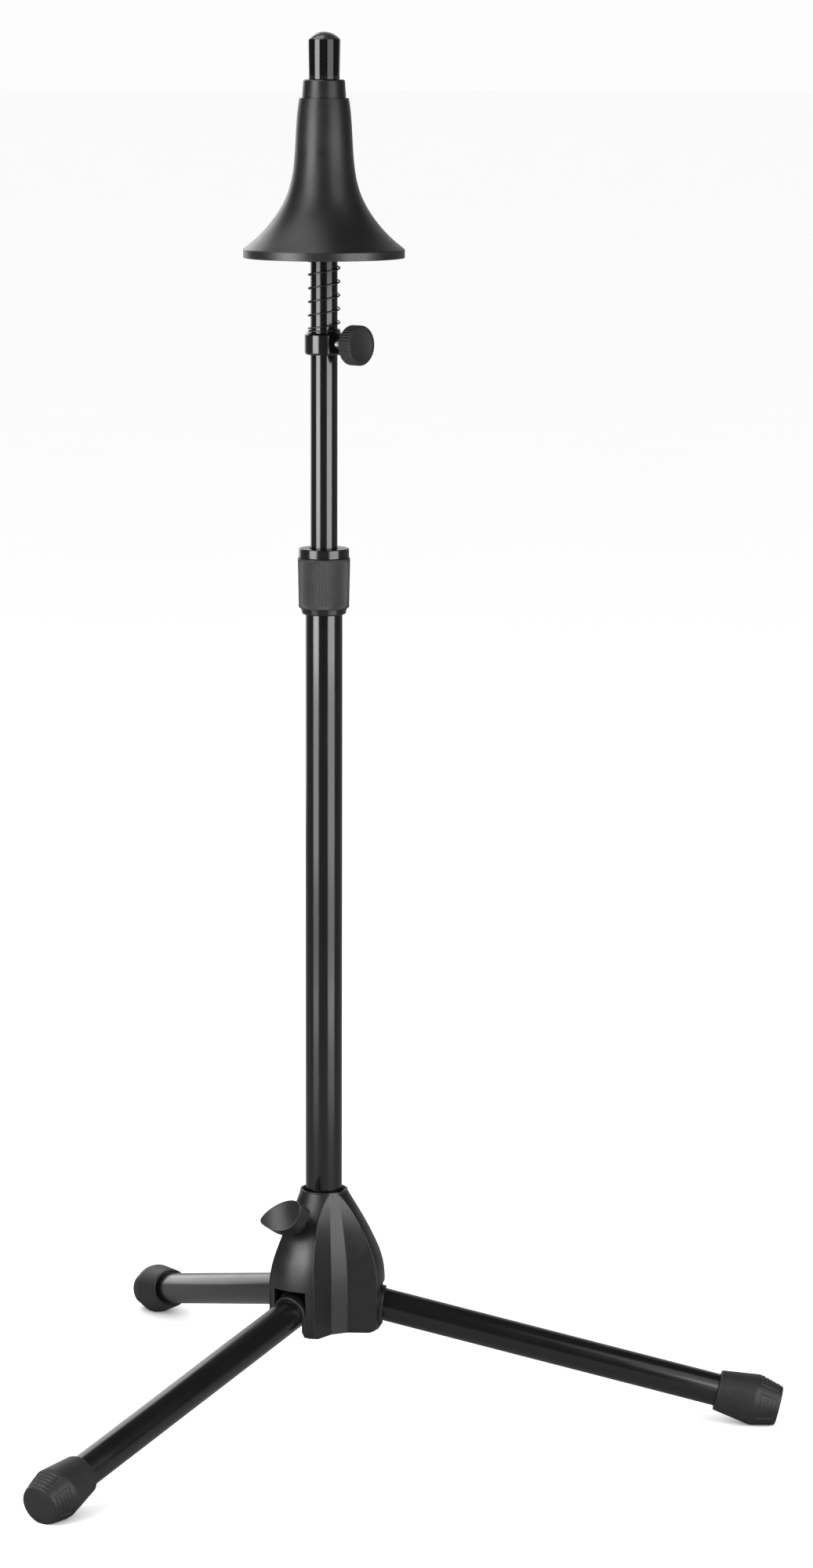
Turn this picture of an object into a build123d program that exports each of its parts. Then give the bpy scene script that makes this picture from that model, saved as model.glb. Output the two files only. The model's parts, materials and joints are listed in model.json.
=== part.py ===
from build123d import *
import math
import os

# Telescopic brass-instrument stand: three folding legs on a lobed base housing, two telescoping tubes with
# a screw clutch, and a sprung cone that carries the bell of the instrument.
# Millimetres, +Z up. The origin is on the stand's axis, at the floor under the spread feet.

# ---- driving dimensions: fits --------------------------------------------------------------------
RUNNING = 0.05          # radial clearance of parts that turn or slide
SEATED = 0.02           # radial clearance of parts that stay put
OVERCUT = 1.0           # how far a cutter runs past the face that it opens

# ---- driving dimensions: tubes -------------------------------------------------------------------
UPPER_TUBE_D = 16.0
UPPER_TUBE_WALL = 1.0
LOWER_TUBE_D = 22.0
LOWER_TUBE_WALL = 1.2
LEG_TUBE_D = 19.5
LEG_TUBE_WALL = 1.2

# ---- driving dimensions: heights above the floor -------------------------------------------------
TOP = 835.3
CAP_BOTTOM = 807.6
CONE_TOP = 796.7
FLANGE_TOP = 708.9
FLANGE_BOTTOM = 703.6
COLLAR_TOP = 659.4
COLLAR_BOTTOM = 646.5
CLUTCH_TOP = 531.4
GRIP_TOP = 525.7
GRIP_BOTTOM = 495.7
CLUTCH_BOTTOM = 491.9
HOUSING_TOP = 140.6
HOUSING_BOTTOM = 55.0
LOWER_TUBE_BOTTOM = 60.0
LOWER_TUBE_TOP = 508.0
UPPER_TUBE_BOTTOM = 215.0
UPPER_TUBE_TOP = 830.5

# ---- driving dimensions: clutch ------------------------------------------------------------------
BODY_D = 25.2           # clutch body, where the nut turns on it
NUT_R = 13.75
NUT_RING_R = 13.25
NUT_LIP = 1.9           # height of the nut's inward lip under the clutch body
GRIP_LOW_R, GRIP_HIGH_R = 15.0, 15.6
CLUTCH_CAP_R = 14.95
COLLET_TOP = 523.4
COLLET_TOP_D = 23.4
COLLET_TRAVEL = 0.6
TAPER_TOP = 518.0
TAPER_BOTTOM = 510.5
TAPER_BOTTOM_D = 18.6
TAPER_TOP_D = 22.6

# ---- driving dimensions: legs --------------------------------------------------------------------
LEG_AZIMUTH = {"a": -125.5, "b": -5.5, "c": 114.5}
LEG_SLOPE = 13.5        # degrees below the horizontal
LEG_REACH = 285.5       # from the stand's axis to the end of the boot, along the leg
BOOT_LENGTH = 38.6
BOOT_TIP = 15.4         # length of the boot's closing cone, which lies on the floor
BOOT_MOUTH_D = 24.3
BOOT_WIDEST_D = 31.0
BOOT_END_WALL = 3.4
BOOT_EDGE_R = 1.0
BOOT_SQUASH = 0.2       # how far the rubber gives where a boot stands on the floor
PIN_RADIUS = 21.5       # distance of the leg pins from the stand's axis
PIN_D = 5.0
PIN_LENGTH = 28.0
PIN_END_GAP = 0.2
EYE_R = 9.5
EYE_WIDTH = 21.6
SHANK_LENGTH = 25.0
SLOT_WIDTH = 23.0
SLOT_TOP = 84.0

# ---- driving dimensions: base housing ------------------------------------------------------------
RIM_D = 28.9
LOBE_R = 37.2
LOBE_FOOT_R = 36.9
LOBE_SHOULDER = 84.0    # height below which the lobes are nearly upright
HOUSING_EDGE_R = 4.0
CENTRE_WELL_R = 12.0
BUSH_D = 26.4
BUSH_BOTTOM = 86.0
STRIP_IN, STRIP_OUT = 14.1, 22.7            # radius of the flat strip at the rim and at the foot
STRIP_HALF_TOP, STRIP_HALF_FOOT = 2.8, 5.4
FACET_TOP, FACET_FOOT = 88.0, 62.0          # angle between a facet and the strip's normal
PANEL_FADE = 60.0                           # height over which a panel takes its full depth
SADDLE_IN, SADDLE_OUT = 33.4, 38.2
SADDLE_WALL = 1.3
SADDLE_CLEARANCE = 0.2   # between the arch and the leg tube

# ---- driving dimensions: pin retainers -----------------------------------------------------------
RETAINER_THICKNESS = 3.0
RETAINER_GAP = 0.15     # around a plate in its pocket
RETAINER_INSET = 0.4    # from the wall of a leg's slot to the edge of a plate
RETAINER_LAP = 0.3      # past the far side of the pin
RETAINER_END_LAP = 0.1  # past the end of the pin
RETAINER_FRONT = 1.6    # wall of the housing in front of a plate
RETAINER_SCREW_R = 17.6
RETAINER_SCREW_D = 3.0
RETAINER_SCREW_LENGTH = 12.0
RETAINER_HEAD_D = 5.6
RETAINER_HEAD = 1.6
POST_INSET = 0.3
POST_END_GAP = 0.1
POST_ROOT = 0.5         # how far a post is sunk in its plate

# ---- driving dimensions: clamp screws ------------------------------------------------------------
BASE_SCREW_AZIMUTH = LEG_AZIMUTH["a"]
BASE_SCREW_Z = 107.9    # height where the screw's axis would meet the stand's axis
BASE_SCREW_CLIMB = 30.0
BASE_SCREW_D = 6.0
BASE_SCREW_TIP_D = 3.5
BASE_SCREW_TIP = 2.4
BASE_PAD_D = 7.9
BASE_PAD_END = 17.6     # reaches along the screw, from the stand's axis
BASE_PAD_TRAVEL = 2.0
WING_BACK, WING_FRONT = 30.6, 47.7
WING_SPAN, WING_HEIGHT = 30.0, 18.6
WING_TILT = 27.5
WING_THICK = 11.0
WING_COVER = 4.0        # from the end of the stud to the middle of the knob's face
COLLAR_D = 23.0
COLLAR_SCREW_AZIMUTH = -41.8
COLLAR_SCREW_Z = 653.0
COLLAR_SCREW_D = 6.0
COLLAR_TIP_END = 9.4
COLLAR_SPIGOT_D = 2.8
COLLAR_SPIGOT = 2.4
KNOB_D = 23.7
KNOB_BACK, KNOB_FRONT = 21.3, 29.8
KNOB_COVER = 2.5        # from the end of the stud to the edge of the knob's face
KNOB_FLUTES = 40

# ---- driving dimensions: bell cone and spring ----------------------------------------------------
FLANGE_R = 47.7
SLEEVE_TOP_D, SLEEVE_D = 24.6, 26.0
SLEEVE_BOTTOM = 742.0
SPRING_SEAT = 780.0
SPRING_D = 19.4
SPRING_WIRE = 1.0
SPRING_PITCH = 8.0
SPRING_CLOSED_PITCH = 1.08
SPRING_CLOSED_TURNS = 1.25
SPRING_BLEND_TURNS = 0.5


def ring(outer_d, inner_d, low, high):
    """A plain ring about the stand's axis."""
    return Pos(0, 0, low) * extrude(Circle(outer_d / 2) - Circle(inner_d / 2), high - low)


def rod(diameter, low, high):
    """A plain cylinder on the stand's axis."""
    return Pos(0, 0, low) * extrude(Circle(diameter / 2), high - low)


def turned(outline):
    """A solid turned about Z from a closed outline of (radius, height) lines or curves."""
    return revolve(Plane.XZ * make_face(outline), Axis.Z)


def turned_points(*points):
    """A solid turned about Z from straight (radius, height) corners."""
    return turned(Polyline(*points, close=True))


def circles(solid, radius):
    """The circular edges of a solid that have this radius."""
    tolerance = 0.01
    return [e for e in solid.edges().filter_by(GeomType.CIRCLE) if abs(e.radius - radius) < tolerance]


def screw_place(azimuth, height, climb, reach):
    """A place on a screw's axis, which leaves the stand's axis at this height and climbs by this angle.
    Local Z points outwards along the screw, and local X is level."""
    a = math.radians(azimuth)
    c = math.radians(climb)
    outward = Vector(math.cos(a) * math.cos(c), math.sin(a) * math.cos(c), math.sin(c))
    level = Vector(-math.sin(a), math.cos(a), 0)
    return Plane(origin=Vector(0, 0, height) + outward * reach, x_dir=level, z_dir=outward).location


def base_screw_place(reach):
    """A place on the axis of the wing screw."""
    return screw_place(BASE_SCREW_AZIMUTH, BASE_SCREW_Z, BASE_SCREW_CLIMB, reach)


def base_screw_rod(diameter, start, end):
    """A cylinder on the axis of the wing screw."""
    return base_screw_place(start) * extrude(Circle(diameter / 2), end - start)


def collar_screw_place(reach):
    """A place on the axis of the collar's thumb screw."""
    return screw_place(COLLAR_SCREW_AZIMUTH, COLLAR_SCREW_Z, 0, reach)


def collar_screw_rod(diameter, start, end):
    """A cylinder on the axis of the collar's thumb screw."""
    return collar_screw_place(start) * extrude(Circle(diameter / 2), end - start)


# ---- legs ----------------------------------------------------------------------------------------
SLOPE = math.radians(LEG_SLOPE)
BOOT_END_R = BOOT_WIDEST_D / 2 - BOOT_TIP * math.tan(SLOPE)
LEG_AXIS_Z = LEG_REACH * math.sin(SLOPE) + BOOT_END_R * math.cos(SLOPE) - BOOT_SQUASH
PIN_Z = LEG_AXIS_Z - PIN_RADIUS * math.tan(SLOPE)
PIN_REACH = PIN_RADIUS / math.cos(SLOPE)
TUBE_START = PIN_REACH + EYE_R
TUBE_END = LEG_REACH - BOOT_END_WALL
PAD_HOLE_D = BASE_PAD_D + 2 * RUNNING
HALF_SPACING = 60.0     # from a leg to the middle of the gap beside it
BISECTORS = [azimuth + HALF_SPACING for azimuth in LEG_AZIMUTH.values()]


def turn_to(name):
    """The turn about the stand's axis that takes a leg built along +X to its own azimuth."""
    return Rot(0, 0, LEG_AZIMUTH[name])


def along_leg(reach):
    """A place on the axis of the leg built along +X, with local Z running down the leg."""
    return Pos(0, 0, LEG_AXIS_Z) * Rot(0, 90 + LEG_SLOPE, 0) * Pos(0, 0, reach)


def cross_pin(diameter, length):
    """A cylinder on the pivot of the leg built along +X."""
    return Pos(PIN_RADIUS, length / 2, PIN_Z) * Rot(90, 0, 0) * extrude(Circle(diameter / 2), length)


def leg_knuckle():
    """Eye on the pivot pin, a round neck that the tube butts on, and a shank plugged into the tube."""
    lead_in = 1.0
    bore_d = LEG_TUBE_D - 2 * LEG_TUBE_WALL
    eye = cross_pin(2 * EYE_R, EYE_WIDTH)
    neck = along_leg(PIN_REACH) * extrude(Circle(LEG_TUBE_D / 2 - SEATED), EYE_R)
    shank = along_leg(TUBE_START) * extrude(Circle(bore_d / 2 - SEATED), SHANK_LENGTH)
    shank = chamfer(shank.faces().sort_by(Axis.X)[-1].edges(), lead_in)
    body = eye + neck + shank
    return body - cross_pin(PIN_D + 2 * RUNNING, EYE_WIDTH + 2 * OVERCUT)


def leg_tube():
    """Round steel tube from the knuckle's shoulder to the bottom of the boot."""
    section = Circle(LEG_TUBE_D / 2) - Circle(LEG_TUBE_D / 2 - LEG_TUBE_WALL)
    return along_leg(TUBE_START) * extrude(section, TUBE_END - TUBE_START)


def foot_boot():
    """Rubber boot: it swells from its mouth, then closes with a cone that is pressed flat on the floor."""
    widest = BOOT_LENGTH - BOOT_TIP
    bore_r = LEG_TUBE_D / 2 + SEATED
    floor_of_bore = BOOT_LENGTH - BOOT_END_WALL
    boot = turned_points(
        (0, floor_of_bore),
        (bore_r, floor_of_bore),
        (bore_r, 0),
        (BOOT_MOUTH_D / 2, 0),
        (BOOT_WIDEST_D / 2, widest),
        (BOOT_END_R, BOOT_LENGTH),
        (0, BOOT_LENGTH),
    )
    boot = fillet(circles(boot, BOOT_MOUTH_D / 2) + circles(boot, BOOT_END_R), BOOT_EDGE_R)
    below_floor = Pos(LEG_REACH, 0, -BOOT_WIDEST_D) * Box(LEG_REACH, BOOT_WIDEST_D, 2 * BOOT_WIDEST_D)
    return along_leg(LEG_REACH - BOOT_LENGTH) * boot - below_floor


def leg_pin():
    """Steel pivot pin with chamfered ends, held in the two walls beside the slot."""
    end_chamfer = 0.4
    pin = cross_pin(PIN_D, PIN_LENGTH)
    return chamfer(pin.edges().filter_by(GeomType.CIRCLE), end_chamfer)


# ---- base housing --------------------------------------------------------------------------------
def panel_section(height):
    """Horizontal section of the cutter between two lobes: a flat strip with a facet on either side."""
    depth = min(1.0, (HOUSING_TOP - height) / PANEL_FADE)
    ease = math.sin(depth * math.pi / 2)
    strip = STRIP_IN + (STRIP_OUT - STRIP_IN) * ease
    half = STRIP_HALF_TOP + (STRIP_HALF_FOOT - STRIP_HALF_TOP) * ease
    angle = math.radians(FACET_TOP + (FACET_FOOT - FACET_TOP) * ease)
    facet = 40.0
    tip = (strip + facet * math.cos(angle), half + facet * math.sin(angle))
    far = 2 * LOBE_R
    corners = [(strip, half), tip, (far, tip[1])]
    mirrored = [(x, -y) for x, y in reversed(corners)]
    return Pos(0, 0, height) * make_face(Polyline(*corners, *mirrored, close=True))


def panel_cutter():
    """The space between two lobes, centred on +X: it fades in below the rim, then runs straight down."""
    full_depth = HOUSING_TOP - PANEL_FADE
    steps = 6
    heights = [HOUSING_TOP - PANEL_FADE * i / steps for i in range(steps + 1)]
    upper = loft([panel_section(z) for z in heights])
    lower = extrude(panel_section(full_depth), -(full_depth - HOUSING_BOTTOM + OVERCUT))
    return upper + lower


def housing_shell():
    """The turned outer form of the three lobes, with a rounded foot."""
    rim_r = RIM_D / 2
    rim_height = 1.0
    curve = Spline(
        (rim_r, HOUSING_TOP - rim_height),
        (23.6, 124.0),
        (31.3, 109.0),
        (LOBE_R, LOBE_SHOULDER),
        tangents=[(0.55, -1), (0, -1)],
    )
    outline = [
        Line((0, HOUSING_BOTTOM), (0, HOUSING_TOP)),
        Line((0, HOUSING_TOP), (rim_r, HOUSING_TOP)),
        Line((rim_r, HOUSING_TOP), (rim_r, HOUSING_TOP - rim_height)),
        curve,
        Line((LOBE_R, LOBE_SHOULDER), (LOBE_FOOT_R, HOUSING_BOTTOM)),
        Line((LOBE_FOOT_R, HOUSING_BOTTOM), (0, HOUSING_BOTTOM)),
    ]
    shell = turned(outline)
    return fillet(circles(shell, LOBE_FOOT_R), HOUSING_EDGE_R)


def saddle():
    """Arched lip around the leg built along +X: the tube's stop when the leg is spread."""
    inner = LEG_TUBE_D / 2 + SADDLE_CLEARANCE
    drop = 30.0
    root = 0.1
    width = SLOT_WIDTH + 2 * root
    foot_chamfer_in, foot_chamfer_up = 2.5, 4.0
    low = HOUSING_BOTTOM + 1.0
    arch = Circle(inner + SADDLE_WALL) + Pos(0, -drop / 2) * Rectangle(width, drop)
    opening = Circle(inner) + Pos(0, -drop / 2) * Rectangle(2 * inner, drop)
    leg_plane = Pos(0, 0, LEG_AXIS_Z) * Rot(0, 90 + LEG_SLOPE, 0) * Rot(0, 0, 90)
    bar = leg_plane * Pos(0, 0, SADDLE_IN / 2) * extrude(arch - opening, SADDLE_OUT)
    lip = turned_points(
        (SADDLE_IN, low),
        (SADDLE_OUT - foot_chamfer_in, low),
        (SADDLE_OUT, low + foot_chamfer_up),
        (SADDLE_OUT, SLOT_TOP),
        (SADDLE_IN, SLOT_TOP),
    )
    return bar & lip


def pin_grooves():
    """Grooves, open at the foot, that let a leg pin in from below and seat it at their top."""
    width = PIN_D + 2 * RUNNING
    length = PIN_LENGTH + 2 * PIN_END_GAP
    way_in = PIN_Z - HOUSING_BOTTOM
    return cross_pin(width, length) + Pos(PIN_RADIUS, 0, PIN_Z - way_in / 2) * Box(width, length, way_in)


def retainer_outline(gap):
    """Plate between two slots, centred on +X: it reaches under the pin groove on either side."""
    wall_in = SLOT_WIDTH / 2 + RETAINER_INSET - gap
    wall_out = PIN_LENGTH / 2 + RETAINER_END_LAP + gap
    reach = PIN_RADIUS + PIN_D / 2 + RETAINER_LAP + gap
    front = STRIP_OUT - RETAINER_FRONT + gap
    s = math.sin(math.radians(HALF_SPACING))
    c = math.cos(math.radians(HALF_SPACING))
    front_reach = (front - wall_out * s) / c
    corners = [
        (wall_in / s, 0),
        (reach * c + wall_in * s, reach * s - wall_in * c),
        (reach * c + wall_out * s, reach * s - wall_out * c),
        (front, front_reach * s - wall_out * c),
    ]
    mirrored = [(x, -y) for x, y in reversed(corners[1:])]
    return make_face(Polyline(*corners, *mirrored, close=True))


def base_housing():
    """Lobed housing: tube bore and bush seat above, three leg slots below, and a hole for the wing screw."""
    body = housing_shell()
    for azimuth in BISECTORS:
        body -= Rot(0, 0, azimuth) * panel_cutter()
    body -= rod(BUSH_D + 2 * SEATED, BUSH_BOTTOM, HOUSING_TOP + OVERCUT)
    body -= rod(2 * CENTRE_WELL_R, HOUSING_BOTTOM - OVERCUT, BUSH_BOTTOM + OVERCUT)
    slot_reach = LOBE_R + OVERCUT
    slot_height = SLOT_TOP - HOUSING_BOTTOM + OVERCUT
    slot = Pos(slot_reach / 2, 0, SLOT_TOP - slot_height / 2) * Box(slot_reach, SLOT_WIDTH, slot_height)
    for name in LEG_AZIMUTH:
        body -= turn_to(name) * slot
        body += turn_to(name) * saddle()
        body -= turn_to(name) * pin_grooves()
    pad_spare = 0.3
    body -= base_screw_rod(PAD_HOLE_D, LOWER_TUBE_D / 2, BASE_PAD_END + BASE_PAD_TRAVEL + pad_spare)
    body -= base_screw_rod(BASE_SCREW_D + 2 * RUNNING, LOWER_TUBE_D / 2, LOBE_R)
    pilot_spare = 1.0
    pilot = extrude(Circle(RETAINER_SCREW_D / 2 + SEATED), RETAINER_SCREW_LENGTH + pilot_spare)
    pocket = extrude(retainer_outline(RETAINER_GAP), RETAINER_THICKNESS)
    pocket += Pos(RETAINER_SCREW_R, 0, 0) * pilot
    for azimuth in BISECTORS:
        body -= Pos(0, 0, HOUSING_BOTTOM) * Rot(0, 0, azimuth) * pocket
    return body


def guide_bush():
    """Plastic liner in the housing's mouth that the lower tube slides in, with a funnelled top."""
    bore_r = LOWER_TUBE_D / 2 + RUNNING
    rim = HOUSING_TOP - 0.9
    lip_width = 0.9
    funnel_r = BUSH_D / 2 - 1.2
    funnel_top, funnel_low = HOUSING_TOP - 4.5, HOUSING_TOP - 5.5
    bush = turned_points(
        (bore_r, BUSH_BOTTOM),
        (BUSH_D / 2, BUSH_BOTTOM),
        (BUSH_D / 2, rim),
        (BUSH_D / 2 - lip_width, rim),
        (funnel_r, funnel_top),
        (bore_r, funnel_low),
    )
    return bush - base_screw_rod(PAD_HOLE_D, LOWER_TUBE_D / 4, BUSH_D)


def pin_retainers():
    """Three plates, each with two posts that fill the pin grooves up to the pins."""
    hole_gap = 0.2
    head_gap = 0.1
    screw_hole = extrude(Circle(RETAINER_SCREW_D / 2 + hole_gap), RETAINER_THICKNESS)
    head_hole = extrude(Circle(RETAINER_HEAD_D / 2 + hole_gap), RETAINER_HEAD + head_gap)
    plate = extrude(retainer_outline(0), RETAINER_THICKNESS)
    plate -= Pos(RETAINER_SCREW_R, 0, 0) * (screw_hole + head_hole)
    post_low = RETAINER_THICKNESS - POST_ROOT
    post_high = PIN_Z - PIN_D / 2 - RUNNING - HOUSING_BOTTOM
    post_in = SLOT_WIDTH / 2 + POST_INSET
    post_out = PIN_LENGTH / 2 - POST_END_GAP
    post = Box(PIN_D - 2 * POST_END_GAP, post_out - post_in, post_high - post_low)
    for side in (-1, 1):
        middle = Pos(PIN_RADIUS, -side * (post_in + post_out) / 2, (post_low + post_high) / 2)
        plate += Rot(0, 0, HALF_SPACING * side) * middle * post
    plates = [Pos(0, 0, HOUSING_BOTTOM) * Rot(0, 0, azimuth) * plate for azimuth in BISECTORS]
    return Compound(plates)


def retainer_screws():
    """Three pan-head screws that hold the retainers in the housing's feet."""
    head_low = HOUSING_BOTTOM + 0.05
    slot_length, slot_width, slot_depth = 3.2, 0.8, 0.9
    screw = extrude(Circle(RETAINER_HEAD_D / 2), RETAINER_HEAD)
    screw += extrude(Circle(RETAINER_SCREW_D / 2), RETAINER_SCREW_LENGTH)
    cross = Rectangle(slot_length, slot_width) + Rectangle(slot_width, slot_length)
    screw -= extrude(cross, slot_depth)
    screws = [Rot(0, 0, azimuth) * Pos(RETAINER_SCREW_R, 0, head_low) * screw for azimuth in BISECTORS]
    return Compound(screws)


def base_pad():
    """Pressure pad between the wing screw and the lower tube, hollowed to the tube."""
    socket_spare = 0.1
    socket_floor = BASE_PAD_END - BASE_SCREW_TIP - socket_spare
    pad = base_screw_rod(BASE_PAD_D, LOWER_TUBE_D / 4, BASE_PAD_END)
    pad -= rod(LOWER_TUBE_D + 2 * SEATED, BASE_SCREW_Z - BASE_PAD_D, BASE_SCREW_Z + 3 * BASE_PAD_D)
    return pad - base_screw_rod(BASE_SCREW_TIP_D, socket_floor, BASE_PAD_END + OVERCUT)


def base_screw():
    """Steel stud of the wing screw, with a turned-down tip that sits in the pressure pad."""
    stud = base_screw_rod(BASE_SCREW_D, BASE_PAD_END, WING_FRONT - WING_COVER)
    return stud + base_screw_rod(BASE_SCREW_TIP_D - 2 * RUNNING, BASE_PAD_END - BASE_SCREW_TIP, BASE_PAD_END)


def wing_knob():
    """Thick oval leaf with a dished face, on a tapered hub. Local Z points outwards along the screw."""
    tips_proud = 5.0        # how far the tips stand forward of the middle of the face
    tip_round = 3.5
    back_r = 30.0
    back_round = 2.0
    rim_round = 0.5
    hub_back_r, hub_front_r = 5.5, 7.6
    hub_root = 2.5
    half_span = WING_SPAN / 2
    half_height = WING_HEIGHT / 2
    upper = ThreePointArc((-half_span, 0), (0, half_height), (half_span, 0))
    lower = ThreePointArc((half_span, 0), (0, -half_height), (-half_span, 0))
    leaf = extrude(make_face([upper, lower]), WING_THICK + tips_proud)
    leaf = fillet(leaf.edges().filter_by(Axis.Z), tip_round)
    leaf = leaf & Pos(0, 0, back_r) * Sphere(back_r)
    dish_r = (half_span**2 + tips_proud**2) / (2 * tips_proud)
    dish = Rot(90, 0, 0) * extrude(Circle(dish_r), 2 * WING_SPAN)
    leaf -= Pos(0, WING_SPAN, WING_THICK + dish_r) * dish
    leaf = fillet(leaf.faces().filter_by(GeomType.SPHERE).edges(), back_round)
    face = leaf.faces().filter_by(GeomType.CYLINDER).sort_by(SortBy.AREA)[-1]
    leaf = fillet(face.edges(), rim_round)
    hub_length = WING_FRONT - WING_THICK - WING_BACK
    from_below = (Align.CENTER, Align.CENTER, Align.MIN)
    hub = Pos(0, 0, -hub_length) * Cone(hub_back_r, hub_front_r, hub_length + hub_root, align=from_below)
    bore_start = -hub_length - OVERCUT
    bore_end = WING_THICK - WING_COVER + SEATED
    bore = Pos(0, 0, bore_start) * extrude(Circle(BASE_SCREW_D / 2 + SEATED), bore_end - bore_start)
    return base_screw_place(WING_FRONT - WING_THICK) * Rot(0, 0, WING_TILT) * (leaf + hub - bore)


# ---- tubes and clutch ----------------------------------------------------------------------------
def lower_tube():
    """Steel tube clamped in the base housing."""
    return ring(LOWER_TUBE_D, LOWER_TUBE_D - 2 * LOWER_TUBE_WALL, LOWER_TUBE_BOTTOM, LOWER_TUBE_TOP)


def tube_plug():
    """Plug that closes the lower end of the lower tube."""
    low = LOWER_TUBE_BOTTOM
    head_r = LOWER_TUBE_D / 2 - 0.3
    bore_r = LOWER_TUBE_D / 2 - LOWER_TUBE_WALL - SEATED
    hollow_r = bore_r - 2.0
    head, floor, length = 1.5, 2.0, 12.0
    edge, lead_in = 0.7, 1.0
    return turned_points(
        (0, low - head),
        (head_r - edge, low - head),
        (head_r, low - head + edge),
        (head_r, low),
        (bore_r, low),
        (bore_r, low + length - lead_in),
        (bore_r - lead_in, low + length),
        (hollow_r, low + length),
        (hollow_r, low + floor),
        (0, low + floor),
    )


def glide_bush():
    """Bush on the lower end of the upper tube, running in the lower tube."""
    outer_r = LOWER_TUBE_D / 2 - LOWER_TUBE_WALL - RUNNING
    inner_r = UPPER_TUBE_D / 2 + RUNNING
    ledge_r = UPPER_TUBE_D / 2 - 2.0
    low = UPPER_TUBE_BOTTOM - 2.5
    high = UPPER_TUBE_BOTTOM + 24.0
    ledge_top = UPPER_TUBE_BOTTOM - 0.1
    lead_in, lead_in_height = 0.8, 1.0
    return turned_points(
        (ledge_r, low),
        (outer_r - lead_in, low),
        (outer_r, low + lead_in_height),
        (outer_r, high - lead_in_height),
        (outer_r - lead_in, high),
        (inner_r, high),
        (inner_r, ledge_top),
        (ledge_r, ledge_top),
    )


def upper_tube():
    """Thin steel tube that carries the cone."""
    return ring(UPPER_TUBE_D, UPPER_TUBE_D - 2 * UPPER_TUBE_WALL, UPPER_TUBE_BOTTOM, UPPER_TUBE_TOP)


def clutch_body():
    """Seat fixed on the end of the lower tube: a sleeve below, a lip over the tube, and a taper above."""
    seat_r = LOWER_TUBE_D / 2 + SEATED
    bore_r = UPPER_TUBE_D / 2 + RUNNING
    low = CLUTCH_BOTTOM + NUT_LIP + 0.1
    lip_low = LOWER_TUBE_TOP + SEATED
    return turned_points(
        (seat_r, low),
        (BODY_D / 2, low),
        (BODY_D / 2, TAPER_TOP),
        (TAPER_TOP_D / 2, TAPER_TOP),
        (TAPER_BOTTOM_D / 2, TAPER_BOTTOM),
        (bore_r, TAPER_BOTTOM),
        (bore_r, lip_low),
        (seat_r, lip_low),
    )


def clutch_collet():
    """Split tapered ring that grips the upper tube when the nut is tightened."""
    rise = 0.2
    shoulder = 0.6
    split_width = 1.6
    bottom = TAPER_BOTTOM + rise
    bore_r = UPPER_TUBE_D / 2 + SEATED
    top_r = COLLET_TOP_D / 2
    slope = (TAPER_TOP_D - TAPER_BOTTOM_D) / 2 / (TAPER_TOP - TAPER_BOTTOM)
    low_r = TAPER_BOTTOM_D / 2 + rise * slope - SEATED
    collet = turned_points(
        (bore_r, bottom),
        (low_r, bottom),
        (low_r + slope * (TAPER_TOP - bottom), TAPER_TOP),
        (top_r, TAPER_TOP + shoulder),
        (top_r, COLLET_TOP),
        (bore_r, COLLET_TOP),
    )
    split_reach = top_r + OVERCUT
    height = COLLET_TOP - bottom + 2 * OVERCUT
    return collet - Pos(split_reach / 2, 0, (bottom + COLLET_TOP) / 2) * Box(split_reach, split_width, height)


def clutch_nut():
    """Turning sleeve of the clutch: its lower edge closes in on the tube and shows as a ring."""
    body_r = BODY_D / 2 + RUNNING
    tube_r = LOWER_TUBE_D / 2 + RUNNING
    lip_top = CLUTCH_BOTTOM + NUT_LIP
    edge = 1.4
    bend = edge * (1 - math.sqrt(0.5))
    outline = [
        Line((tube_r, CLUTCH_BOTTOM), (NUT_RING_R - edge, CLUTCH_BOTTOM)),
        ThreePointArc(
            (NUT_RING_R - edge, CLUTCH_BOTTOM),
            (NUT_RING_R - bend, CLUTCH_BOTTOM + bend),
            (NUT_RING_R, CLUTCH_BOTTOM + edge),
        ),
        Polyline(
            (NUT_RING_R, CLUTCH_BOTTOM + edge),
            (NUT_R, GRIP_BOTTOM),
            (NUT_R, GRIP_TOP),
            (body_r, GRIP_TOP),
            (body_r, lip_top),
            (tube_r, lip_top),
            (tube_r, CLUTCH_BOTTOM),
        ),
    ]
    return turned(outline)


def clutch_grip():
    """Ribbed rubber grip on the nut, slightly wider at the top."""
    inner_r = NUT_R + SEATED
    return turned_points(
        (inner_r, GRIP_BOTTOM),
        (GRIP_LOW_R, GRIP_BOTTOM),
        (GRIP_HIGH_R, GRIP_TOP),
        (inner_r, GRIP_TOP),
    )


def clutch_cap():
    """Top ring of the clutch, which presses the collet down."""
    bore_r = UPPER_TUBE_D / 2 + 0.6
    mouth_r, mouth_depth = UPPER_TUBE_D / 2 + 1.0, 1.5
    edge_round = 0.6
    low = COLLET_TOP + COLLET_TRAVEL + 0.2
    cap = turned_points(
        (bore_r, low),
        (BODY_D / 2, low),
        (BODY_D / 2, GRIP_TOP),
        (CLUTCH_CAP_R, GRIP_TOP),
        (CLUTCH_CAP_R, CLUTCH_TOP),
        (mouth_r, CLUTCH_TOP),
        (bore_r, CLUTCH_TOP - mouth_depth),
    )
    return fillet(circles(cap, CLUTCH_CAP_R), edge_round)


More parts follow.
